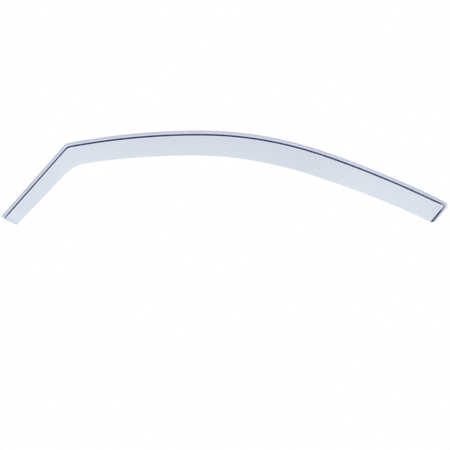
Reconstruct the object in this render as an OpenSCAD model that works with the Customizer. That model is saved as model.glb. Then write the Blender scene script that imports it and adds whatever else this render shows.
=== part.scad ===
// Window rain deflector for a front door, in one piece of clear sheet, millimetres.
// A flat tongue sits in the window channel along the top and down the rear end. A joggle
// steps the sheet outwards, and the blade hangs from it as a gently crowned strip.
// Frame: origin on the joggle line at the crown of the roof arch, on the glass side of the
// tongue. +X runs to the rear of the door, +Z is up and -Y faces out of the car.

/* [Joggle line] */
// Straight pillar leg, from the front cut to the kink
leg_l = 183; // [140:1:230]
// Radius of the kink on the joggle line
kink_r = 22; // [16:1:40]
// Turn of the kink between pillar leg and roof, degrees
kink_angle = 38.1; // [28:0.1:44]
// Roof ahead of the crown, length
roof_front_l = 260; // [210:1:310]
// Roof ahead of the crown, turn in degrees
roof_front_angle = 10.4; // [6:0.1:14]
// Roof just behind the crown, length
roof_crown_l = 106.5; // [80:0.5:150]
// Roof just behind the crown, turn in degrees
roof_crown_angle = 8.3; // [4:0.1:12]
// Roof at its tightest, length
roof_mid_l = 138.5; // [100:0.5:180]
// Roof at its tightest, turn in degrees
roof_mid_angle = 10.4; // [6:0.1:14]
// Rear stretch of the roof, length
roof_rear_l = 265; // [220:1:320]
// Rear stretch of the roof, turn in degrees
roof_rear_angle = 7.4; // [3:0.1:11]
// Radius of the rear corner on the joggle line
corner_r = 3; // [3:0.5:6]
// Turn of the rear corner, degrees
corner_angle = 103.4; // [94:0.1:108]

/* [Tongue] */
// Width of the tongue along the pillar leg
tongue_w_leg = 7; // [6:0.1:11]
// Width of the tongue at the start of the roof
tongue_w_roof = 7.7; // [6:0.1:11]
// Width of the tongue at the crown
tongue_w_crown = 8; // [6:0.1:11]
// Width of the tongue at the rear of the roof, just ahead of the rear corner
tongue_w_back = 7.7; // [6:0.1:11]
// Width of the tongue at the rear corner
tongue_w_corner = 6.8; // [6.7:0.1:9]
// Width of the tongue down the rear end
tongue_w_rear = 5.2; // [5:0.1:7]
// Radius of the kink on the tongue's outer edge
tongue_kink_r = 8; // [4:1:14]
// Radius of the rear corner on the tongue's outer edge
tongue_corner_r = 9; // [6:0.5:9]
// Width of the lead-in bevel on the tongue's outer face
lead_w = 1.5; // [0.8:0.1:1.6]
// Thickness that the lead-in bevel takes off the tongue's edge
lead_cut = 0.8; // [0.2:0.1:1.2]

/* [Section] */
// Thickness of the sheet
sheet_t = 3; // [2.6:0.1:4]
// Step of the joggle, from tongue to blade
step_h = 6; // [4:0.5:7]
// Width of the joggle's wall between its two bends, across the sheet
step_w = 3; // [2:0.1:3.2]
// Radius of both bends at the middle of the sheet
bend_r = 2.2; // [2:0.1:2.3]
// Rounding of every cut edge
edge_r = 0.7; // [0.3:0.1:0.8]

/* [Blade] */
// Width of the blade at the front cut
blade_w_front = 27.1; // [22:0.1:34]
// Width of the blade at the end of the leg
blade_w_leg = 32.5; // [28:0.1:40]
// Width of the blade at the start of the roof
blade_w_roof = 38.5; // [32:0.1:46]
// Width of the blade at the crown
blade_w_crown = 41.8; // [34:0.1:52]
// Width of the blade at its widest
blade_w_mid = 44.6; // [36:0.1:54]
// Distance along the line from the crown to where the blade is widest
blade_widest_l = 195; // [120:5:300]
// Width of the blade at the rear end
blade_w_rear = 40.6; // [34:0.1:50]
// Radius of the kink on the blade's lower edge
blade_kink_r = 80; // [50:1:100]
// Height of the blade's crown above its shoulder
crown_h = 2.8; // [1:0.1:3.3]
// Length over which the crown runs out at the rear end
crown_fade_l = 45; // [36:1:80]
// Length of the rounded front lower corner, along the leg
nose_l = 1; // [1:0.5:6]
// Height of the rounded front lower corner, across the blade
nose_w = 3.5; // [3:0.5:12]
// Slant of the front cut below the joggle from square, degrees
front_cut_angle = 15; // [0:1:20]
// Slant of the rear end's cut from square, degrees
rear_cut_angle = 38; // [0:1:45]

/* [Door glass] */
// Radius of the glass along the car
glass_r_long = 6000; // [3000:100:12000]
// Radius of the glass from roof to sill
glass_r_high = 1500; // [1000:50:3000]

/* [Hidden] */
sheet_colour = [0.83, 0.87, 0.92];
// Distance from each bend over which the rulings turn back to square
kink_reach = 120;
corner_reach = 30;
// Distance along the leg over which the slant of the front cut dies out
front_reach = 100;
// Distance along the leg over which the rounded nose dies out, and the share of the blade's
// rows that lie above it
nose_reach = 50;
nose_from = 0.35;
// Share of the rear end over which the slant of its cut dies out
rear_reach = 0.8;
// Widest spacing and turn between two stations, and points in a bend
station_l = 12;
station_angle = 5;
corner_steps = 8;
rear_steps = 8;
bend_steps = 4;

half_t = sheet_t / 2;
wall_angle = atan2(step_h, step_w);
bend_tangent = bend_r * tan(wall_angle / 2);
shoulder_n = -(step_w / 2 + bend_tangent);

// The joggle line as [length, turn] pieces, from the front cut to the lower rear end
kink_l = kink_r * kink_angle * PI / 180;
corner_l = corner_r * corner_angle * PI / 180;
rear_leg_l = blade_w_rear / sin(corner_angle) - corner_r * tan(corner_angle / 2);
pieces = [
    [leg_l, 0],
    [kink_l, kink_angle],
    [roof_front_l, roof_front_angle],
    [roof_crown_l, roof_crown_angle],
    [roof_mid_l, roof_mid_angle],
    [roof_rear_l, roof_rear_angle],
    [corner_l, corner_angle],
    [rear_leg_l, 0],
];
kink_index = 1;
corner_index = 6;

function along(h) = [cos(h), sin(h)];
function across(h) = [-sin(h), cos(h)];

// Way covered after length l of a piece that starts at heading h and turns right
function advance(h, piece, l) =
    abs(piece[1]) < 0.001 ? l * along(h)
    : let (r = piece[0] * 180 / (piece[1] * PI), t = piece[1] * l / piece[0])
      r * [sin(h) - sin(h - t), cos(h - t) - cos(h)];

// Start of every piece as [station, point, heading], counted from the front cut
function piece_starts(i, s, p, h) =
    i == len(pieces) ? [[s, p, h]]
    : concat([[s, p, h]], piece_starts(i + 1, s + pieces[i][0],
        p + advance(h, pieces[i], pieces[i][0]), h - pieces[i][1]));

starts = piece_starts(0, 0, [0, 0], kink_angle + roof_front_angle);
crown_s = starts[3][0];
crown_point = starts[3][1];
line_l = starts[len(pieces)][0];

// Point and heading at station s of piece i or its extension, with the crown at the origin
function pose_on(i, s) =
    let (l = s - starts[i][0], h = starts[i][2])
    [starts[i][1] - crown_point + advance(h, pieces[i], l), h - pieces[i][1] * l / pieces[i][0]];

// The piece at station s, and the one beside the two bends where s ends one of them
function piece_of(s) = max([for (i = [0 : len(pieces) - 1]) if (starts[i][0] <= s) i]);
function side_piece(s) =
    max([for (i = [0 : len(pieces) - 1])
        if (i != kink_index && i != corner_index && starts[i][0] <= s) i]);

// Bends that the rulings fan round, as [from, to, middle heading, half turn, slide, reach].
// The slide comes from the bend's radii on the joggle line and on the tongue's outer edge.
function bend_at(i, line_r, outer_r, width, reach) =
    let (half = pieces[i][1] / 2)
    [starts[i][0], starts[i + 1][0], starts[i][2] - half, half,
        1 + (line_r - outer_r) / width, reach];
kink = bend_at(kink_index, kink_r, tongue_kink_r, tongue_w_roof, kink_reach);
corner = bend_at(corner_index, corner_r, tongue_corner_r, tongue_w_corner, corner_reach);
function within(bend, s) = s > bend[0] && s < bend[1];

function fade(x) = x >= 1 ? 0 : (1 - x) * (1 - x);

// How far a ruling at distance n from the line slides along it, beside a bend
function slide(bend, n, s) =
    bend[4] * n * tan(bend[3])
    * (s <= bend[0] ? fade((bend[0] - s) / bend[5]) : -fade((s - bend[1]) / bend[5]));

// Slide that gives the rear end its slanted cut
function rear_slide(n, s) = -n * tan(rear_cut_angle) * fade((line_l - s) / (rear_leg_l * rear_reach));

// Point of the line's offset by n, outwards positive, round a bend with its own radius
function round_bend(bend, n, s) =
    let (at = pose_on(piece_of(s), s), square = across(at[1]))
    at[0] + n * square
    + bend[4] * n * (across(bend[2]) / cos(bend[3]) - square);

function beside(n, s, at_s) =
    let (at = pose_on(side_piece(s), at_s))
    at[0] + n * across(at[1]);

function offset_point(n, s) =
    within(kink, s) ? round_bend(kink, n, s)
    : within(corner, s) ? round_bend(corner, n, s)
    : beside(n, s, s + slide(kink, n, s) + slide(corner, n, s) + rear_slide(n, s));

// Smooth curve through [station, value] pairs
function slope_at(table, i) =
    let (last = len(table) - 1, a = max(i - 1, 0), b = min(i + 1, last))
    (table[b][1] - table[a][1]) / (table[b][0] - table[a][0]);

function smooth(table, s, i = 0) =
    i < len(table) - 2 && s > table[i + 1][0] ? smooth(table, s, i + 1)
    : let (
        h = table[i + 1][0] - table[i][0],
        t = min(max((s - table[i][0]) / h, 0), 1),
        k = 3 * t * t - 2 * t * t * t
    )
    table[i][1] * (1 - k) + table[i + 1][1] * k
    + h * t * (1 - t) * (slope_at(table, i) * (1 - t) - slope_at(table, i + 1) * t);

tongue_widths = [
    [0, tongue_w_leg],
    [kink[0], tongue_w_leg],
    [kink[1], tongue_w_roof],
    [crown_s, tongue_w_crown],
    [corner[0] - corner_reach, tongue_w_back],
    [corner[0], tongue_w_corner],
    [corner[1], tongue_w_rear],
    [line_l, tongue_w_rear],
];

// Kink of the blade's lower edge: its corner from the line's corner, along leg and roof, and
// the stations where its round starts and ends
low_on_leg = (blade_w_leg * cos(kink_angle) - blade_w_roof) / sin(kink_angle);
low_on_roof = (blade_w_leg - blade_w_roof * cos(kink_angle)) / sin(kink_angle);
low_reach = (blade_kink_r - kink_r) * tan(kink_angle / 2);
low_kink = [kink[0] + low_on_leg - low_reach, kink[1] + low_on_roof + low_reach];
leg_widths = [[0, blade_w_front], [low_kink[0], blade_w_leg]];
roof_widths = [
    [low_kink[1], blade_w_roof],
    [crown_s, blade_w_crown],
    [crown_s + blade_widest_l, blade_w_mid],
    [corner[0], blade_w_rear],
];

// Stations along the line. The middle of the rear corner is one of them.
function piece_steps(i) =
    let (n = max(ceil(pieces[i][0] / station_l), ceil(pieces[i][1] / station_angle)))
    i == corner_index ? corner_steps : i == corner_index + 1 ? rear_steps : n;

stations = concat(
    [edge_r],
    [for (i = [0 : len(pieces) - 1]) let (n = piece_steps(i))
        for (k = [(i == 0 ? 1 : 0) : n - 1]) starts[i][0] + pieces[i][0] * k / n],
    [line_l - edge_r]
);
corner_s = (corner[0] + corner[1]) / 2;
columns = len([for (s = stations) if (s < corner_s - 0.001) s]);
rows = len(stations) - 1 - columns;

// Share of the way down the blade for each row
function row_share(i) =
    (stations[columns + i] - corner_s) / (stations[columns + rows] - corner_s);

// Fade of the crown at a column, towards the rear end
function crown_share(s) = sin(90 * min(1, (corner_s - s) / crown_fade_l));

// Slope of the blade where it leaves the shoulder at a station
function lean(j) =
    let (s = stations[j])
    j <= columns ? atan(crown_h * PI / 2 * crown_share(s) / blade_w_mid)
    : atan(crown_h * PI / 2 * sin(90 * row_share(j - columns)) / crown_fade_l);

// Middle of the sheet through the tongue and the joggle, as [n, depth, slope, outer half]
function section(j) =
    let (edge_n = smooth(tongue_widths, stations[j]) - edge_r, out = lean(j))
    concat(
        [[edge_n, half_t, 0, half_t - lead_cut], [edge_n + edge_r - lead_w, half_t, 0, half_t]],
        [for (k = [0 : bend_steps]) let (a = wall_angle * k / bend_steps)
            [-shoulder_n - bend_r * sin(a), half_t + bend_r * (1 - cos(a)), a, half_t]],
        [for (k = [0 : bend_steps]) let (a = wall_angle + (out - wall_angle) * k / bend_steps)
            [shoulder_n + bend_r * sin(a), half_t + step_h - bend_r * (1 - cos(a)), a, half_t]]
    );
sections = [for (j = [0 : len(stations) - 1]) section(j)];
section_n = len(sections[0]);

// Set-back of the curved door glass behind the frame's upright plane
function glass(p) = p[0] * p[0] / (2 * glass_r_long) + p[1] * p[1] / (2 * glass_r_high);
function placed(p, depth) = [p[0], glass(p) - depth, p[1]];

// Tongue and joggle, on the outer face (side 1) or the inner one (side -1)
function strip_point(side, j, k) =
    let (c = sections[j][k], half = side > 0 ? c[3] : half_t)
    placed(offset_point(c[0] + side * half * sin(c[2]), stations[j]), c[1] + side * half * cos(c[2]));

// Lower edge of the blade below station s, drawn in to meet the foot of the rear end
low_centre = pose_on(0, kink[0] + low_on_leg + kink_r * tan(kink_angle / 2))[0]
    - blade_w_leg * across(starts[0][2]) - blade_kink_r * across(kink[2]) / cos(kink[3]);
low_end_s = corner[0] + corner_r * tan(corner_angle / 2) + blade_w_rear / tan(corner_angle);
foot = strip_point(1, len(stations) - 1, section_n - 1);
function low_free(s) =
    within(kink, s) ? low_centre + (blade_kink_r + edge_r) * across(pose_on(kink_index, s)[1])
    : s <= kink[0] ?
        let (at = s + (low_kink[0] - kink[0]) * fade((kink[0] - s) / kink_reach)
                + (blade_w_front + shoulder_n) * tan(front_cut_angle) * fade(s / front_reach))
        beside(edge_r - smooth(leg_widths, at), s, at)
    : let (at = s + (low_kink[1] - kink[1]) * fade((s - kink[1]) / kink_reach)
            + (low_end_s - corner_s) * fade((corner_s - s) / kink_reach))
        beside(edge_r - smooth(roof_widths, at), min(s, corner[0]), at);
low_gap = [foot[0], foot[2]] - low_free(corner_s);
function low_point(s) = low_free(s) + low_gap * fade((corner_s - s) / kink_reach);

// Blade. The rows of the first column follow the rounded nose, from nose_from downwards.
function nose_angle(share) = 90 * max(0, share - nose_from) / (1 - nose_from);
function nose_share(share) =
    let (straight = 1 - nose_w / blade_w_front)
    share < nose_from ? share * straight / nose_from
    : straight + (1 - straight) * sin(nose_angle(share));

function blade_point(side, i, j) =
    let (
        s = stations[j],
        share = row_share(i),
        top = strip_point(side, j, section_n - 1),
        low = low_point(s),
        nose = fade(s / nose_reach),
        down = share + (nose_share(share) - share) * nose,
        p = [top[0], top[2]] * (1 - down) + low * down
            + nose * nose_l * (1 - cos(nose_angle(share))) * along(starts[0][2]),
        rise = crown_h * sin(90 * down) * crown_share(s)
    )
    placed(p, half_t + step_h + rise + side * half_t);

// Points are numbered side by side: first the strip's, then the blade's
strip_count = len(stations) * section_n;
side_count = strip_count + rows * columns;

function strip_id(side, j, k) = (side > 0 ? 0 : side_count) + j * section_n + k;
function blade_id(side, i, j) =
    i == 0 ? strip_id(side, j, section_n - 1)
    : j == columns ? strip_id(side, columns + i, section_n - 1)
    : (side > 0 ? 0 : side_count) + strip_count + (i - 1) * columns + j;

function side_points(side) = concat(
    [for (j = [0 : len(stations) - 1]) for (k = [0 : section_n - 1]) strip_point(side, j, k)],
    [for (i = [1 : rows]) for (j = [0 : columns - 1]) blade_point(side, i, j)]
);
sheet_points = concat(side_points(1), side_points(-1));

function quad(a, b, c, d) = [[a, c, b], [a, d, c]];
function side_faces(side) = [
    for (j = [0 : len(stations) - 2]) for (k = [0 : section_n - 2])
        each quad(strip_id(side, j, k), strip_id(side, j, k + 1),
            strip_id(side, j + 1, k + 1), strip_id(side, j + 1, k)),
    for (i = [0 : rows - 1]) for (j = [0 : columns - 1])
        each quad(blade_id(side, i, j), blade_id(side, i + 1, j),
            blade_id(side, i + 1, j + 1), blade_id(side, i, j + 1)),
];

// Cut edge of the sheet, all the way round, as pairs of outer and inner corners
rim = [
    for (j = [0 : len(stations) - 1]) [strip_id(1, j, 0), strip_id(-1, j, 0)],
    for (k = [1 : section_n - 1])
        [strip_id(1, len(stations) - 1, k), strip_id(-1, len(stations) - 1, k)],
    for (j = [columns - 1 : -1 : 0]) [blade_id(1, rows, j), blade_id(-1, rows, j)],
    for (i = [rows - 1 : -1 : 1]) [blade_id(1, i, 0), blade_id(-1, i, 0)],
    for (k = [section_n - 1 : -1 : 1]) [strip_id(1, 0, k), strip_id(-1, 0, k)],
];

function rim_middle(i) =
    let (pair = rim[(i + len(rim)) % len(rim)])
    (sheet_points[pair[0]] + sheet_points[pair[1]]) / 2;

// Two corners that stand out from each pair by the edge's rounding
function rim_corners(i) =
    let (
        outer = sheet_points[rim[i][0]],
        inner = sheet_points[rim[i][1]],
        normal = (outer - inner) / norm(outer - inner),
        run = rim_middle(i + 1) - rim_middle(i - 1),
        out = cross(normal, run) / norm(cross(normal, run))
    )
    [outer + edge_r * (out - normal), inner + edge_r * (out + normal)];

rim_points = [for (i = [0 : len(rim) - 1]) each rim_corners(i)];
rim_start = len(sheet_points);
function rim_faces(i) =
    let (
        n = (i + 1) % len(rim),
        a = [rim[i][0], rim_start + 2 * i, rim_start + 2 * i + 1, rim[i][1]],
        b = [rim[n][0], rim_start + 2 * n, rim_start + 2 * n + 1, rim[n][1]]
    )
    [for (k = [0 : 2]) each quad(a[k], b[k], b[k + 1], a[k + 1])];

function turned_over(faces) = [for (f = faces) [f[2], f[1], f[0]]];

module deflector() {
    color(sheet_colour)
        polyhedron(
            points = concat(sheet_points, rim_points),
            faces = concat(
                side_faces(1),
                turned_over(side_faces(-1)),
                [for (i = [0 : len(rim) - 1]) each rim_faces(i)]
            )
        );
}

deflector();
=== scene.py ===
"""Looks of a window rain deflector: one piece of clear sheet, drawn finely round the frame."""

from math import atan, atan2, ceil, cos, degrees, pi, radians, sin, sqrt, tan

import bpy
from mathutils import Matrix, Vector


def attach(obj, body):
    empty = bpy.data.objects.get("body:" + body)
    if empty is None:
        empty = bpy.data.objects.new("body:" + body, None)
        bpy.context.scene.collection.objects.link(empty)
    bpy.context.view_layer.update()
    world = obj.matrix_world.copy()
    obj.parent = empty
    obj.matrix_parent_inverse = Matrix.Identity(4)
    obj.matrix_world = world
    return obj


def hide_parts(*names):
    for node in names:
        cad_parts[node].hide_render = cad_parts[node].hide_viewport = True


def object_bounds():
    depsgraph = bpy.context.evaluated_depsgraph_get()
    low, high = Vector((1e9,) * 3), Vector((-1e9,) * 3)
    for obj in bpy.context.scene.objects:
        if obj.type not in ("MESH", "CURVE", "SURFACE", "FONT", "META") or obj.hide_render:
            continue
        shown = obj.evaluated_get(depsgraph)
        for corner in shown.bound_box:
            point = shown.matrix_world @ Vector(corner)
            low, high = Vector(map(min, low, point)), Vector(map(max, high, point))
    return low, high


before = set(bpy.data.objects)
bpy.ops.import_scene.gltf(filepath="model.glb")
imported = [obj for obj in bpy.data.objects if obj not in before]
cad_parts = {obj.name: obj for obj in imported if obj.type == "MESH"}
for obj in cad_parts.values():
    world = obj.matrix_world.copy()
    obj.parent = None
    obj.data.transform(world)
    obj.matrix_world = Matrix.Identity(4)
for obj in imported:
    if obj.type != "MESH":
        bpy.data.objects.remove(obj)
cad_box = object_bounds()

# A millimetre in metres
MM = 0.001
# A difference in millimetres or degrees that counts as none
TINY = 0.001

# Joggle line, as in the part's own source: millimetres and degrees, roof as (length, turn)
LEG_L = 183
KINK_R = 22
KINK_TURN = 38.1
ROOF = [(260, 10.4), (106.5, 8.3), (138.5, 10.4), (265, 7.4)]
CORNER_R = 3
CORNER_TURN = 103.4

# Tongue
TONGUE_W_LEG = 7
TONGUE_W_ROOF = 7.7
TONGUE_W_CROWN = 8
TONGUE_W_BACK = 7.7
TONGUE_W_CORNER = 6.8
TONGUE_W_REAR = 5.2
TONGUE_KINK_R = 8
TONGUE_CORNER_R = 9
LEAD_W = 1.5
LEAD_CUT = 0.8

# Section
SHEET_T = 3
STEP_H = 6
STEP_W = 3
BEND_R = 2.2
EDGE_R = 0.7

# Blade
BLADE_W_FRONT = 27.1
BLADE_W_LEG = 32.5
BLADE_W_ROOF = 38.5
BLADE_W_CROWN = 41.8
BLADE_W_MID = 44.6
BLADE_WIDEST_L = 195
BLADE_W_REAR = 40.6
BLADE_KINK_R = 80
CROWN_H = 2.8
CROWN_FADE_L = 45
NOSE_L = 1
NOSE_W = 3.5
FRONT_CUT = 15
REAR_CUT = 38

# Door glass that the sheet lies over
GLASS_R_LONG = 6000
GLASS_R_HIGH = 1500

# How far from a bend or an end its effect on the outline fades out
KINK_REACH = 120
CORNER_REACH = 30
FRONT_REACH = 100
NOSE_REACH = 50
# The share of the blade's rows that end on the straight part of the front cut
NOSE_FROM = 0.35
# The share of the rear end over which the slant of its cut dies out
REAR_REACH = 0.8

# How finely the visible sheet is divided
STATION_L = 5
STATION_TURN = 2.5
CORNER_STEPS = 28
REAR_STEPS = 26
BEND_STEPS = 10
RIM_STEPS = 4
CREASE = 0.12

# Rows of the bake's map, as shares of its height: the outer face, the rim, the inner face
MAP_FACE_H = 0.47
MAP_RIM = 0.465
MAP_RIM_H = 0.03
MAP_INNER = 0.5
# The millimetres across the sheet that a face's rows stand for, and where they start
MAP_MM = 60
MAP_TOP_MM = 9


def sind(a):
    return sin(radians(a))


def cosd(a):
    return cos(radians(a))


def tand(a):
    return tan(radians(a))


def add(p, q, k=1.0):
    return (p[0] + q[0] * k, p[1] + q[1] * k)


def along(h):
    return (cosd(h), sind(h))


def across(h):
    return (-sind(h), cosd(h))


def fade(x):
    """Falls from 1 to 0 as x goes from 0 to 1, and stays there."""
    return 0.0 if x >= 1 else (1 - x) ** 2


HALF_T = SHEET_T / 2
WALL_ANGLE = degrees(atan2(STEP_H, STEP_W))
BEND_TANGENT = BEND_R * tand(WALL_ANGLE / 2)
SHOULDER_N = -(STEP_W / 2 + BEND_TANGENT)
REAR_LEG_L = BLADE_W_REAR / sind(CORNER_TURN) - CORNER_R * tand(CORNER_TURN / 2)
PIECES = [(LEG_L, 0), (radians(KINK_TURN) * KINK_R, KINK_TURN), *ROOF,
          (radians(CORNER_TURN) * CORNER_R, CORNER_TURN), (REAR_LEG_L, 0)]
# Numbers of the kink, of the roof piece that starts at the crown, and of the rear corner
KINK = 1
CROWN = 3
CORNER = 6


def advance(h, piece, l):
    """Way covered after length l of a piece that starts at heading h and turns right."""
    length, turn = piece
    if abs(turn) < TINY:
        return (l * cosd(h), l * sind(h))
    r = length / radians(turn)
    t = turn * l / length
    return (r * (sind(h) - sind(h - t)), r * (cosd(h - t) - cosd(h)))


def piece_starts():
    """Distance along the line, point and heading where each piece starts, and the line's end."""
    starts = [(0.0, (0.0, 0.0), KINK_TURN + ROOF[0][1])]
    for piece in PIECES:
        s, p, h = starts[-1]
        starts.append((s + piece[0], add(p, advance(h, piece, piece[0])), h - piece[1]))
    return starts


STARTS = piece_starts()
CROWN_S, CROWN_POINT, _ = STARTS[CROWN]
LINE_L = STARTS[-1][0]


def pose_on(i, s):
    """Point and heading at distance s, on piece i or on its run beyond its ends."""
    start, p, h = STARTS[i]
    l = s - start
    at = add(add(p, CROWN_POINT, -1), advance(h, PIECES[i], l))
    return at, h - PIECES[i][1] * l / PIECES[i][0]


def piece_of(s, beside_bends=False):
    """Number of the piece that holds s. Beside bends, a bend counts to the piece before it."""
    skipped = (KINK, CORNER) if beside_bends else ()
    return max(i for i in range(len(PIECES)) if i not in skipped and STARTS[i][0] <= s)


class Bend:
    """A bend of the joggle line that the sheet's rulings fan round."""

    def __init__(self, i, line_r, outer_r, width, reach):
        self.start, self.end = STARTS[i][0], STARTS[i + 1][0]
        self.half = PIECES[i][1] / 2
        self.middle = STARTS[i][2] - self.half
        self.spread = 1 + (line_r - outer_r) / width
        self.reach = reach

    def holds(self, s):
        return self.start < s < self.end

    def slide(self, n, s):
        """How far a ruling beside the bend slides along the line, at n across."""
        push = self.spread * n * tand(self.half)
        if s <= self.start:
            return push * fade((self.start - s) / self.reach)
        return -push * fade((s - self.end) / self.reach)

    def point(self, n, s):
        """Point at n across, on the ruling of a station in the bend."""
        at, h = pose_on(piece_of(s), s)
        square = across(h)
        mitre = tuple(m / cosd(self.half) for m in across(self.middle))
        at = add(at, square, n - self.spread * n)
        return add(at, mitre, self.spread * n)


kink = Bend(KINK, KINK_R, TONGUE_KINK_R, TONGUE_W_ROOF, KINK_REACH)
corner = Bend(CORNER, CORNER_R, TONGUE_CORNER_R, TONGUE_W_CORNER, CORNER_REACH)


def beside(n, s, at_s):
    """Point at n across and at_s along, on the straight or arched piece that holds s."""
    at, h = pose_on(piece_of(s, True), at_s)
    return add(at, across(h), n)


def offset_point(n, s):
    """Point of the flat outline at n across, on the ruling of station s."""
    if kink.holds(s):
        return kink.point(n, s)
    if corner.holds(s):
        return corner.point(n, s)
    rear_slide = -n * tand(REAR_CUT) * fade((LINE_L - s) / (REAR_LEG_L * REAR_REACH))
    return beside(n, s, s + kink.slide(n, s) + corner.slide(n, s) + rear_slide)


def smooth(table, s):
    """Smooth curve through (station, value) pairs."""
    i = 0
    while i < len(table) - 2 and s > table[i + 1][0]:
        i += 1

    def slope(k):
        a, b = max(k - 1, 0), min(k + 1, len(table) - 1)
        return (table[b][1] - table[a][1]) / (table[b][0] - table[a][0])

    h = table[i + 1][0] - table[i][0]
    t = min(max((s - table[i][0]) / h, 0), 1)
    k = 3 * t * t - 2 * t ** 3
    return (table[i][1] * (1 - k) + table[i + 1][1] * k
            + h * t * (1 - t) * (slope(i) * (1 - t) - slope(i + 1) * t))


TONGUE_WIDTHS = [(0, TONGUE_W_LEG), (kink.start, TONGUE_W_LEG), (kink.end, TONGUE_W_ROOF),
                 (CROWN_S, TONGUE_W_CROWN), (corner.start - CORNER_REACH, TONGUE_W_BACK),
                 (corner.start, TONGUE_W_CORNER), (corner.end, TONGUE_W_REAR),
                 (LINE_L, TONGUE_W_REAR)]
LOW_ON_LEG = (BLADE_W_LEG * cosd(KINK_TURN) - BLADE_W_ROOF) / sind(KINK_TURN)
LOW_ON_ROOF = (BLADE_W_LEG - BLADE_W_ROOF * cosd(KINK_TURN)) / sind(KINK_TURN)
LOW_REACH = (BLADE_KINK_R - KINK_R) * tand(KINK_TURN / 2)
LOW_KINK_START = kink.start + LOW_ON_LEG - LOW_REACH
LOW_KINK_END = kink.end + LOW_ON_ROOF + LOW_REACH
LEG_WIDTHS = [(0, BLADE_W_FRONT), (LOW_KINK_START, BLADE_W_LEG)]
ROOF_WIDTHS = [(LOW_KINK_END, BLADE_W_ROOF), (CROWN_S, BLADE_W_CROWN),
               (CROWN_S + BLADE_WIDEST_L, BLADE_W_MID), (corner.start, BLADE_W_REAR)]


def station_list():
    """Distances along the line at which the section is drawn."""
    found = [EDGE_R]
    for i, (length, turn) in enumerate(PIECES):
        steps = {CORNER: CORNER_STEPS, CORNER + 1: REAR_STEPS}.get(
            i, max(ceil(length / STATION_L), ceil(turn / STATION_TURN)))
        found += [STARTS[i][0] + length * k / steps for k in range(0 if i else 1, steps)]
    return found + [LINE_L - EDGE_R]


stations = station_list()
CORNER_S = (corner.start + corner.end) / 2
# The blade is a grid: its columns are the stations up to the corner, its rows those after it
columns = sum(s < CORNER_S - TINY for s in stations)
rows = len(stations) - 1 - columns


def row_share(i):
    """How far down the rear end row i starts, from 0 at the corner to 1 at its foot."""
    return (stations[columns + i] - CORNER_S) / (stations[-1] - CORNER_S)


def crown_share(s):
    """Share of the crown that the blade has below s, which dies out towards the corner."""
    return sind(90 * min(1, (CORNER_S - s) / CROWN_FADE_L))


def lean(j):
    """Slope in degrees at which the crowned blade leaves the joggle at station j."""
    if j <= columns:
        return degrees(atan(CROWN_H * pi / 2 * crown_share(stations[j]) / BLADE_W_MID))
    return degrees(atan(CROWN_H * pi / 2 * sind(90 * row_share(j - columns)) / CROWN_FADE_L))


def section(j):
    """Middle of the sheet through tongue and joggle, as (n, depth, slope, outer half)."""
    edge_n = smooth(TONGUE_WIDTHS, stations[j]) - EDGE_R
    crease_n = edge_n + EDGE_R - LEAD_W
    foot_n, out = -SHOULDER_N, lean(j)

    def tongue(n):
        cut = LEAD_CUT * max(0, (n - crease_n) / (edge_n - crease_n))
        return (n, HALF_T, 0.0, HALF_T - cut)

    rows_n = [edge_n, edge_n - CREASE, (edge_n + crease_n) / 2, crease_n + CREASE,
              crease_n - CREASE, (crease_n + foot_n) / 2]
    foot = [(foot_n - BEND_R * sind(a), HALF_T + BEND_R * (1 - cosd(a)), a, HALF_T)
            for a in (WALL_ANGLE * k / BEND_STEPS for k in range(BEND_STEPS + 1))]
    shoulder = [(SHOULDER_N + BEND_R * sind(a),
                 HALF_T + STEP_H - BEND_R * (1 - cosd(a)), a, HALF_T)
                for a in (WALL_ANGLE + (out - WALL_ANGLE) * k / BEND_STEPS
                          for k in range(BEND_STEPS + 1))]
    wall = [tuple((a + b) / 2 for a, b in zip(foot[-1], shoulder[0]))]
    return [tongue(n) for n in rows_n] + foot + wall + shoulder


sections = [section(j) for j in range(len(stations))]
section_n = len(sections[0])


def placed(p, depth):
    """A point of the flat outline, bent over the glass and set out by its depth."""
    glass = p[0] ** 2 / (2 * GLASS_R_LONG) + p[1] ** 2 / (2 * GLASS_R_HIGH)
    return (p[0], glass - depth, p[1])


def flat_n(side, j, k):
    """How far across the line point k of a section lies, on the outer (1) or inner (-1) face."""
    n, _, slope, outer_half = sections[j][k]
    return n + side * (outer_half if side > 0 else HALF_T) * sind(slope)


def strip_point(side, j, k):
    """Point k of the section through tongue and joggle at station j, on one face."""
    _, depth, slope, outer_half = sections[j][k]
    half = outer_half if side > 0 else HALF_T
    flat = offset_point(flat_n(side, j, k), stations[j])
    return placed(flat, depth + side * half * cosd(slope))


# Centre of the wide curve on the blade's lower edge, under the kink
low_centre = add(
    add(pose_on(0, kink.start + LOW_ON_LEG + KINK_R * tand(KINK_TURN / 2))[0],
        across(STARTS[0][2]), -BLADE_W_LEG),
    across(kink.middle), -BLADE_KINK_R / cosd(kink.half))
LOW_END_S = corner.start + CORNER_R * tand(CORNER_TURN / 2) + BLADE_W_REAR / tand(CORNER_TURN)


def low_free(s):
    """The blade's lower edge below station s, before it is joined to the rear end."""
    if kink.holds(s):
        return add(low_centre, across(pose_on(KINK, s)[1]), BLADE_KINK_R + EDGE_R)
    if s <= kink.start:
        at = (s + (LOW_KINK_START - kink.start) * fade((kink.start - s) / KINK_REACH)
              + (BLADE_W_FRONT + SHOULDER_N) * tand(FRONT_CUT) * fade(s / FRONT_REACH))
        return beside(EDGE_R - smooth(LEG_WIDTHS, at), s, at)
    at = (s + (LOW_KINK_END - kink.end) * fade((s - kink.end) / KINK_REACH)
          + (LOW_END_S - CORNER_S) * fade((CORNER_S - s) / KINK_REACH))
    return beside(EDGE_R - smooth(ROOF_WIDTHS, at), min(s, corner.start), at)


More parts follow.
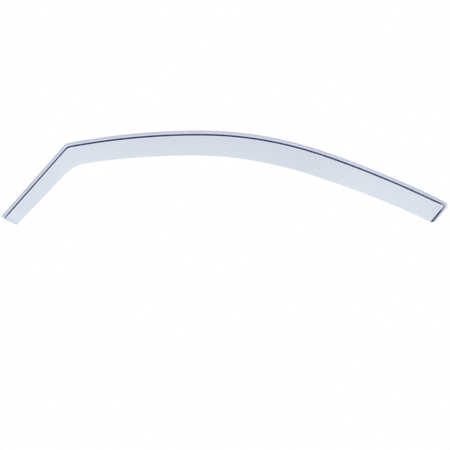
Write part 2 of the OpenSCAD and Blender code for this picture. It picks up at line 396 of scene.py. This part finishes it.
def low_gap(side):
    """How far the free lower edge misses the foot of the rear end, on one face."""
    x, _, z = strip_point(side, len(stations) - 1, section_n - 1)
    return add((x, z), low_free(CORNER_S), -1)


LOW_GAPS = {side: low_gap(side) for side in (1, -1)}


def low_point(side, s):
    """The blade's lower edge below station s, on one face."""
    return add(low_free(s), LOW_GAPS[side], fade((CORNER_S - s) / KINK_REACH))


def nose_angle(share):
    """Way round the nose that a row has gone, in degrees."""
    return 90 * max(0, share - NOSE_FROM) / (1 - NOSE_FROM)


def nose_share(share):
    """How far down the front cut a row starts, so that the rows follow the rounded nose."""
    straight = 1 - NOSE_W / BLADE_W_FRONT
    if share < NOSE_FROM:
        return share * straight / NOSE_FROM
    return straight + (1 - straight) * sind(nose_angle(share))


def blade_point(side, i, j):
    """Point of the crowned blade in row i, below station j, on one face."""
    s, share = stations[j], row_share(i)
    x, _, z = strip_point(side, j, section_n - 1)
    low = low_point(side, s)
    nose = fade(s / NOSE_REACH)
    down = share + (nose_share(share) - share) * nose
    p = (x * (1 - down) + low[0] * down, z * (1 - down) + low[1] * down)
    p = add(p, along(STARTS[0][2]), nose * NOSE_L * (1 - cosd(nose_angle(share))))
    rise = CROWN_H * sind(90 * down) * crown_share(s)
    return placed(p, HALF_T + STEP_H + rise + side * HALF_T)


def map_place(across_mm, along_mm, side):
    """Place of a point on the bake's map, where both faces lie straight, one above the other."""
    row = (MAP_TOP_MM - across_mm) / MAP_MM * MAP_FACE_H
    return (along_mm / LINE_L, row + (0 if side > 0 else MAP_INNER))


class Sheet:
    """The sheet's mesh, with readings at each point: how far across, how far along, which face."""

    def __init__(self):
        self.points, self.faces, self.places = [], [], []
        self.across, self.along, self.outer = [], [], []

    def point(self, p, across_mm, along_mm, outer):
        """Adds a point given in millimetres, kept inside the solid's box, and returns its id."""
        self.points.append([min(max(c * MM, low), high) for c, low, high in zip(p, *cad_box)])
        self.across.append(across_mm)
        self.along.append(along_mm)
        self.outer.append(outer)
        return len(self.points) - 1

    def band(self, a, b):
        """Faces between two rows of points, given as (point id, place) pairs."""
        for k in range(len(a) - 1):
            corners = (a[k], b[k], b[k + 1], a[k + 1])
            self.faces.append([i for i, _ in corners])
            self.places += [xy for _, at in corners for xy in at]


def face_of_sheet(sheet, side):
    """One face as rows of (point id, place) pairs: the strip by station, the blade by row."""
    def point(p, n, s):
        return sheet.point(p, n, s, side > 0), map_place(n, s, side)

    strip = [[point(strip_point(side, j, k), flat_n(side, j, k), s) for k in range(section_n)]
             for j, s in enumerate(stations)]
    blade = [[row[-1] for row in strip[:columns + 1]]]
    for i in range(1, rows + 1):
        row = []
        for j in range(columns):
            p = blade_point(side, i, j)
            start = strip_point(side, j, section_n - 1)
            down = sqrt((p[0] - start[0]) ** 2 + (p[2] - start[2]) ** 2)
            row.append(point(p, flat_n(side, j, -1) - down, stations[j]))
        last_place = (stations[columns] / LINE_L, row[-1][1][1])
        blade.append(row + [(strip[columns + i][-1][0], last_place)])
    return strip, blade


def cross(a, b):
    return [a[1] * b[2] - a[2] * b[1], a[2] * b[0] - a[0] * b[2], a[0] * b[1] - a[1] * b[0]]


def unit(v):
    size = sqrt(sum(c * c for c in v))
    return [c / size for c in v]


def border(strip, blade):
    """Point ids round one face: tongue's edge, rear end's foot, lower edge and front cut."""
    way = ([row[0] for row in strip] + strip[-1][1:]
           + blade[-1][-2::-1] + [row[0] for row in blade[-2:0:-1]] + strip[0][:0:-1])
    return [i for i, _ in way]


def rim_places(ids, u):
    """A rib's ids with their places on the rim's stretch of the bake's map."""
    return [(i, (u, MAP_RIM + MAP_RIM_H * step / (len(ids) - 1))) for step, i in enumerate(ids)]


def cut_edge(sheet, outer, inner):
    """Rounded edge that closes the sheet all the way round."""
    pairs = list(zip(border(*outer), border(*inner)))
    points = sheet.points
    middles = [[(a + b) / 2 for a, b in zip(points[o], points[i])] for o, i in pairs]
    ribs = []
    for k, (o, i) in enumerate(pairs):
        normal = unit([a - b for a, b in zip(points[o], points[i])])
        run = [a - b for a, b in zip(middles[(k + 1) % len(pairs)], middles[k - 1])]
        out = unit(cross(normal, run))
        rib = [o]
        for start, way, turns in ((o, -1, range(1, RIM_STEPS + 1)),
                                  (i, 1, range(RIM_STEPS, 0, -1))):
            for turn in turns:
                a = 90 * turn / RIM_STEPS
                p = [c / MM + EDGE_R * (sind(a) * u + way * (1 - cosd(a)) * n)
                     for c, u, n in zip(points[start], out, normal)]
                rib.append(sheet.point(p, sheet.across[start], sheet.along[start], way < 0))
        ribs.append(rib + [i])
    for k, rib in enumerate(ribs):
        after = ribs[(k + 1) % len(ribs)]
        sheet.band(rim_places(rib, k / len(ribs)), rim_places(after, (k + 1) / len(ribs)))


def in_scene(name, data):
    thing = bpy.data.objects.new(name, data)
    bpy.context.scene.collection.objects.link(thing)
    return thing


def build_sheet():
    """The visible sheet as one closed mesh, its map and its readings included."""
    sheet = Sheet()
    outer, inner = face_of_sheet(sheet, 1), face_of_sheet(sheet, -1)
    for side, (strip, blade) in ((1, outer), (-1, inner)):
        for rows_of_ids in (strip, blade):
            turned = (side > 0) == (rows_of_ids is strip)
            for a, b in zip(rows_of_ids, rows_of_ids[1:]):
                first, second = (b, a) if turned else (a, b)
                sheet.band(first, second)
    cut_edge(sheet, outer, inner)
    mesh = bpy.data.meshes.new("deflector_sheet")
    mesh.from_pydata(sheet.points, [], sheet.faces)
    mesh.update()
    for name, values in (("across", sheet.across), ("along", sheet.along),
                         ("outer", [float(outer) for outer in sheet.outer])):
        mesh.attributes.new(name, "FLOAT", "POINT").data.foreach_set("value", values)
    mesh.uv_layers.new(name="OFBake").uv.foreach_set("vector", sheet.places)
    mesh.shade_smooth()
    return in_scene("deflector_sheet", mesh)


# Tints as they show, from 0 to 255, by millimetres across from the joggle line, with painted light
ACROSS_SPAN = (-50, 12)
# The sheet's faint blue-grey with painted shade down the blade towards the line, a painted
# highlight on the joggle's convex shoulder beside the line, and painted shade on the tongue
BODY_TINT_AND_PAINTED_LIGHT = [(-44, (223, 231, 242)), (-8, (218, 226, 238)), (-5, (214, 222, 236)),
             (-3.5, (227, 235, 249)), (-2.4, (240, 247, 255)), (1.5, (240, 246, 255)),
             (2.8, (228, 235, 252)), (4.4, (207, 214, 232)), (5.6, (204, 211, 230)),
             (7, (216, 221, 240))]
# Painted shade on the tongue, greyest across its middle, by millimetres across
TONGUE_SPAN = (0, 12)
BEVEL_PAINTED_SHADE = [(1.5, (255, 255, 255)), (2.8, (248, 248, 248)), (4.4, (241, 241, 241)),
              (5.6, (242, 242, 242)), (7, (250, 250, 250)), (9, (255, 255, 255))]

# By the distance along the joggle line: tints, shares, and the painted dark line's place and
# fineness
ALONG_SPAN = (0, LINE_L)
# How much of the tongue's painted shade shows, by the distance along
BEVEL_SHOWN = [(0, 1), (175, 1), (192, 0.2), (212, 0.8), (330, 0.5), (400, 0.2), (500, 0),
               (820, 0.1), (880, 1)]
# Greys by the distance along: darker at the front cut and a little darker between about 200 and
# 800 mm along
BODY_GREYS_ALONG = [(0, (237, 240, 244)), (4, (243, 245, 248)), (8, (255, 255, 255)),
              (18, (255, 255, 255)), (30, (251, 251, 251)), (200, (251, 251, 251)),
              (360, (245, 245, 245)), (680, (243, 243, 244)), (800, (251, 251, 251)),
              (950, (251, 251, 251)), (975, (248, 248, 249)), (1011, (247, 247, 248))]
# Painted shade: the colour of the dark line painted on the joggle's sloped wall, by the distance
# along
LINE_PAINTED_SHADE = [(0, (0, 20, 72)), (30, (0, 7, 36)), (955, (0, 7, 36)), (972, (0, 24, 80)),
             (985, (0, 11, 54))]
LINE_SHOWN = [(0, 0.62), (5, 0.93), (10, 1), (962, 1), (CORNER_S - 1, 0.88),
              (CORNER_S + 4, 0.86), (980, 1)]
LINE_SIDEWAYS = [(0, 1), (10, 0.7), (200, 0.65), (230, 0.8), (330, 0.7), (400, 0.58),
                 (460, 0.8), (560, 0.77), (640, 0.68), (720, 0.08), (830, 0.08), (860, 0.14),
                 (950, 0.1), (965, 0.25), (985, 0.52)]
LINE_FINENESS = [(0, 0.64), (10, 0.87), (60, 0.89), (180, 0.89), (206, 0.67), (300, 0.67),
                 (400, 0.7), (560, 0.7), (640, 0.73), (740, 0.8), (860, 0.91), (945, 0.9),
                 (960, 0.65), (974, 0.76), (990, 0.66)]
# The LINE_SIDEWAYS at which the painted dark line is centred on the joggle line
LINE_CENTRED = 0.63

# The rubbing's marks are drawn out lengthways, by this factor on the distance along
RUBBED_LENGTHWAYS = 0.03

# How the painted dark line ends to its sides, by millimetres from its middle at a fineness of 1
LINE_SPAN = (0, 3)
LINE_CLEAR = [(1.1, 0), (1.32, 0.42), (1.52, 1)]


def linear(shown):
    """A colour as it shows, from 0 to 255, turned into the linear values shaders take."""
    return (*(((c / 255 + 0.055) / 1.055) ** 2.4 for c in shown), 1.0)


def grey(v):
    return (v, v, v, 1.0)


class Nodes:
    """Short ways to add and link nodes in one tree."""

    def __init__(self, tree):
        self.tree = tree
        tree.nodes.clear()

    def add(self, kind, inputs=(), **settings):
        node = self.tree.nodes.new("ShaderNode" + kind)
        for name, value in settings.items():
            setattr(node, name, value)
        for key, value in dict(inputs).items():
            self.put(node.inputs[key], value)
        return node

    def put(self, socket, value):
        """Links another node's socket to this one, or sets its value."""
        if isinstance(value, bpy.types.NodeSocket):
            self.tree.links.new(value, socket)
        else:
            socket.default_value = value

    def math(self, operation, *values):
        return self.add("Math", dict(enumerate(values)), operation=operation).outputs[0]

    def reading(self, name):
        return self.add("Attribute", attribute_name=name).outputs["Fac"]

    def ramp(self, value, span, stops):
        """A colour or a share by value, from (value, colour or share) stops within a span."""
        low, high = span
        share = self.add("MapRange", {"Value": value, "From Min": low, "From Max": high})
        node = self.add("ValToRGB", {"Fac": share.outputs["Result"]})
        elements = node.color_ramp.elements
        while len(elements) < len(stops):
            elements.new(1.0)
        for element, (at, shown) in zip(elements, stops):
            element.position = (at - low) / (high - low)
            element.color = linear(shown) if isinstance(shown, tuple) else grey(shown)
        return node.outputs["Color"]

    def mix(self, a, b, factor, blend="MIX"):
        """Mixes two colours, which are inputs 6 and 7 of a Mix node, into its output 2."""
        node = self.add("Mix", {0: factor, 6: a, 7: b}, data_type="RGBA", blend_type=blend)
        return node.outputs[2]

    def surface(self, kind, shader):
        self.put(self.add("Output" + kind).inputs["Surface"], shader.outputs[0])


def new_material(name):
    material = bpy.data.materials.new(name)
    material.use_nodes = True
    return material, Nodes(material.node_tree)


def body_tint_and_painted_light(n, across_mm, along_mm):
    """The sheet's faint blue-grey with painted light: a painted highlight palest beside the line,
    painted shade darkest on the tongue's outer edge, and greys along the line.
    """
    body = n.ramp(across_mm, ACROSS_SPAN, BODY_TINT_AND_PAINTED_LIGHT)
    bevel = n.ramp(across_mm, TONGUE_SPAN, BEVEL_PAINTED_SHADE)
    both = n.mix(body, bevel, n.ramp(along_mm, ALONG_SPAN, BEVEL_SHOWN), "MULTIPLY")
    return n.mix(both, n.ramp(along_mm, ALONG_SPAN, BODY_GREYS_ALONG), 1.0, "MULTIPLY")


def painted_line_shade(n, across_mm, along_mm):
    """Painted shade: the dark line that the clear sloped wall of the joggle shows, painted along
    that wall, finer or wider along its way.
    """
    middle = n.math("SUBTRACT", n.ramp(along_mm, ALONG_SPAN, LINE_SIDEWAYS), LINE_CENTRED)
    off = n.math("ABSOLUTE", n.math("ADD", across_mm, middle))
    fine = n.ramp(along_mm, ALONG_SPAN, LINE_FINENESS)
    clear = n.ramp(n.math("MULTIPLY", off, fine), LINE_SPAN, LINE_CLEAR)
    return n.mix(n.ramp(along_mm, ALONG_SPAN, LINE_PAINTED_SHADE), grey(1), clear)


def sheet_material():
    """Clear sheet, tinted by place, with painted highlight and shade, a painted dark line, fine
    rubbing and a slight moulded wave.
    """
    material, n = new_material("clear_sheet")
    across_mm, along_mm, outer = (n.reading(name) for name in ("across", "along", "outer"))
    # Base colour: the sheet's tint with painted highlight and shade, times the painted dark line
    # on the outer face
    line_shown = n.math("MULTIPLY", outer, n.ramp(along_mm, ALONG_SPAN, LINE_SHOWN))
    tint_and_painted_light = n.mix(body_tint_and_painted_light(n, across_mm, along_mm), painted_line_shade(n, across_mm, along_mm),
                 line_shown, "MULTIPLY")

    lengthways = n.math("MULTIPLY", along_mm, RUBBED_LENGTHWAYS)
    stretched = n.add("CombineXYZ", {"X": lengthways, "Y": across_mm})
    rubbed = n.add("TexNoise", {"Vector": stretched.outputs[0], "Scale": 1.2, "Detail": 3.0})
    gloss = n.add("MapRange", {"Value": rubbed.outputs["Fac"], "From Min": 0.35, "From Max": 0.75,
                               "To Min": 0.02, "To Max": 0.09})
    waves = n.add("TexNoise", {"Vector": n.add("TexCoord").outputs["Object"], "Scale": 22.0,
                               "Detail": 1.0})
    drawn = n.add("Bump", {"Strength": 0.25, "Distance": 0.0006, "Height": waves.outputs["Fac"]})
    n.surface("Material", n.add("BsdfPrincipled", {
        "Base Color": tint_and_painted_light, "Roughness": gloss.outputs[0], "IOR": 1.49,
        "Transmission Weight": 1.0, "Normal": drawn.outputs[0]}))
    return material


piece = build_sheet()
piece.data.materials.append(sheet_material())
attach(piece, "root")
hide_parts("deflector")

# The studio's strengths and greys, where a strength of 1 is white
WORLD_LIGHT = 0.85
WORLD_SIDE = 0.12
FLOOR_PALE = 0.9
FLOOR_SIDE = 0.1
# How far a direction's Y is from 0 where the world's dark sides end and its white starts
SIDE_END = 0.78
WHITE_START = 0.93

# Places in the studio, in metres
FLOOR_Z = -0.66
FLOOR_HALF = 4.0
LAMPS_AIM = (0.06, 0.0, -0.09)
# The floor's dark sides start and are fully dark where the way to the side and the way behind
# add up to this
FLOOR_SIDE_START = 1.1
FLOOR_SIDE_FULL = 1.5

# The photo's frame: its width in pixels, a pixel's size in metres and the crown's pixel
PHOTO_W = 450
PIXEL = 0.002
CROWN_PIXEL = (200.425, 134.625)
CAMERA_Y = -2.0


def white_world():
    """White to the eye, also through the sheet, with darker sides that the gloss picks up."""
    world = bpy.data.worlds.new("studio")
    world.use_nodes = True
    bpy.context.scene.world = world
    n = Nodes(world.node_tree)
    path = n.add("LightPath").outputs
    way = n.add("SeparateXYZ", {"Vector": n.add("TexCoord").outputs["Generated"]}).outputs
    ends = n.add("MapRange", {"Value": n.math("ABSOLUTE", way["Y"]), "From Min": SIDE_END,
                              "From Max": WHITE_START, "To Min": WORLD_SIDE, "To Max": 1.0})
    clear = n.math("MAXIMUM", path["Is Camera Ray"], path["Is Transmission Ray"])
    white = n.add("Background", {"Color": grey(1),
                                 "Strength": n.math("MAXIMUM", clear, ends.outputs[0])})
    light = n.add("Background", {"Color": grey(1), "Strength": WORLD_LIGHT})
    seen = n.math("MAXIMUM", clear, path["Is Glossy Ray"])
    n.surface("World", n.add("MixShader", {0: seen, 1: light.outputs[0], 2: white.outputs[0]}))


def floor_material():
    """Pale, and dark at its sides and behind for mirrored rays, so that the gloss shows."""
    material, n = new_material("floor")
    mirrored = n.math("GREATER_THAN", n.add("LightPath").outputs["Glossy Depth"], 0.5)
    at = n.add("SeparateXYZ", {"Vector": n.add("NewGeometry").outputs["Position"]}).outputs
    behind = n.math("ADD", n.math("ABSOLUTE", at["X"]), at["Y"])
    side = n.add("MapRange", {"Value": behind, "From Min": FLOOR_SIDE_START,
                              "From Max": FLOOR_SIDE_FULL})
    dark = n.math("MULTIPLY", mirrored, side.outputs[0])
    colour = n.mix(grey(FLOOR_PALE), grey(FLOOR_SIDE), dark)
    n.surface("Material", n.add("BsdfDiffuse", {"Color": colour}))
    return material


def plain_floor():
    mesh = bpy.data.meshes.new("floor")
    corners = ((-1, -1), (1, -1), (1, 1), (-1, 1))
    mesh.from_pydata([(x * FLOOR_HALF, y * FLOOR_HALF, FLOOR_Z) for x, y in corners],
                     [], [(0, 1, 2, 3)])
    mesh.materials.append(floor_material())
    in_scene("floor", mesh)


def soft_lamp(name, at, size, power):
    light = bpy.data.lights.new(name, "AREA")
    light.shape = "SQUARE"
    light.size = size
    light.energy = power
    lamp = in_scene(name, light)
    lamp.location = at
    lamp.rotation_euler = (Vector(LAMPS_AIM) - Vector(at)).to_track_quat("-Z", "Y").to_euler()


def front_camera():
    """Looks along +Y, with the photo's scale and the crown at the photo's pixel."""
    data = bpy.data.cameras.new("camera")
    data.type = "ORTHO"
    data.ortho_scale = PHOTO_W * PIXEL
    camera = in_scene("camera", data)
    crown_x, crown_y = CROWN_PIXEL
    camera.location = ((PHOTO_W / 2 - crown_x) * PIXEL, CAMERA_Y, (crown_y - PHOTO_W / 2) * PIXEL)
    camera.rotation_euler = (pi / 2, 0, 0)
    bpy.context.scene.camera = camera


white_world()
plain_floor()
soft_lamp("key", (-1.2, -1.8, 1.6), size=1.6, power=12)
soft_lamp("fill", (1.6, 1.4, 1.2), size=1.8, power=6)
front_camera()
bpy.context.scene.view_settings.view_transform = "Standard"
